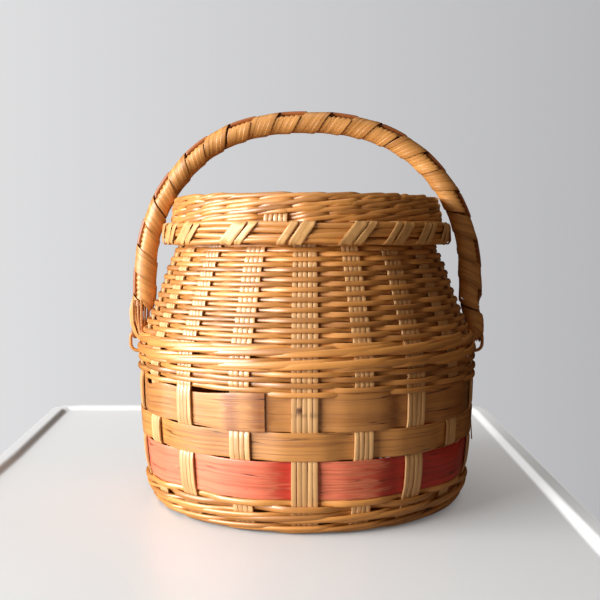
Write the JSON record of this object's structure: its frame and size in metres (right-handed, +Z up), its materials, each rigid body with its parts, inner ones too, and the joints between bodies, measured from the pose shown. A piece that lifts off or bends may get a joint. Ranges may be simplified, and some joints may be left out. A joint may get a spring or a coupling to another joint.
{
  "type": "lidded woven basket",
  "caption": "Round woven cane basket with a narrowed neck, a lift-off lid and a wrapped arch handle that swings down to free it.",
  "frame": {"origin": "centre of the base's underside, on the surface the basket stands on", "axes": "+Z up; +X towards the right hinge ring, along the handle's arch; -Y is the side that the picture shows"},
  "size_m": [0.3022, 0.2852, 0.3198],
  "materials": {
    "reed_stakes": "pale polished reed, light gloss",
    "weavers": "tan cane with a soft shine",
    "mats": "darker woven cane, matt",
    "red_splint": "red dyed splint, grain showing through",
    "golden_splint": "golden split wood, satin",
    "grey_splint": "grey-brown weathered splint, matt",
    "lashing": "flat glossy splint",
    "handle_rods": "dark bare cane rods"
  },
  "bodies": {
    "basket": {"base_mat": "mats", "foot_row_1": "weavers", "foot_row_2": "weavers", "foot_row_3": "weavers", "stake_01": "reed_stakes", "stake_02": "reed_stakes", "stake_03": "reed_stakes", "stake_04": "reed_stakes", "stake_05": "reed_stakes", "stake_06": "reed_stakes", "stake_07": "reed_stakes", "stake_08": "reed_stakes", "stake_09": "reed_stakes", "stake_10": "reed_stakes", "stake_11": "reed_stakes", "stake_12": "reed_stakes", "stake_13": "reed_stakes", "stake_14": "reed_stakes", "stake_15": "reed_stakes", "stake_16": "reed_stakes", "stake_17": "reed_stakes", "stake_18": "reed_stakes", "stake_19": "reed_stakes", "stake_20": "reed_stakes", "red_splint": "red_splint", "middle_splint": "golden_splint", "top_splint": "grey_splint", "lower_row_1": "weavers", "lower_row_2": "weavers", "shoulder_rod_lower": "weavers", "shoulder_rod_upper": "weavers", "neck_weaver_a_1": "weavers", "neck_weaver_a_2": "weavers", "neck_weaver_a_3": "weavers", "neck_weaver_b_1": "weavers", "neck_weaver_b_2": "weavers", "neck_weaver_b_3": "weavers", "rim_hoop_outer": "weavers", "rim_hoop_inner": "weavers", "hinge_ring_left": "reed_stakes", "hinge_ring_right": "reed_stakes"},
    "lid": {"lid_frame": "reed_stakes", "lid_crown": "mats", "lid_edge_row": "weavers", "lid_row_1": "weavers", "lid_row_2": "weavers", "lid_row_3": "weavers", "lid_border_rod_lower": "weavers", "lid_border_rod_upper": "weavers", "lid_lashing": "lashing"},
    "handle": {"handle_loop_rod": "handle_rods", "handle_inner_rod": "handle_rods", "handle_outer_rod": "handle_rods", "handle_wrap": "lashing"}
  },
  "joints": [
    {"name": "handle_swing", "type": "hinge", "parent": "basket", "child": "handle", "pos_m": [0, 0, 0.1359], "axis": [-1, 0, 0], "range_deg": [0, 72]},
    {"name": "lid_lift", "type": "slide", "parent": "basket", "child": "lid", "axis": [0, 0, 1], "range_m": [0, 0.0208]}
  ],
  "couplings": [
    {"joint": "lid_lift", "follows": "handle_swing", "m_per_rad": 0.0165}
  ]
}
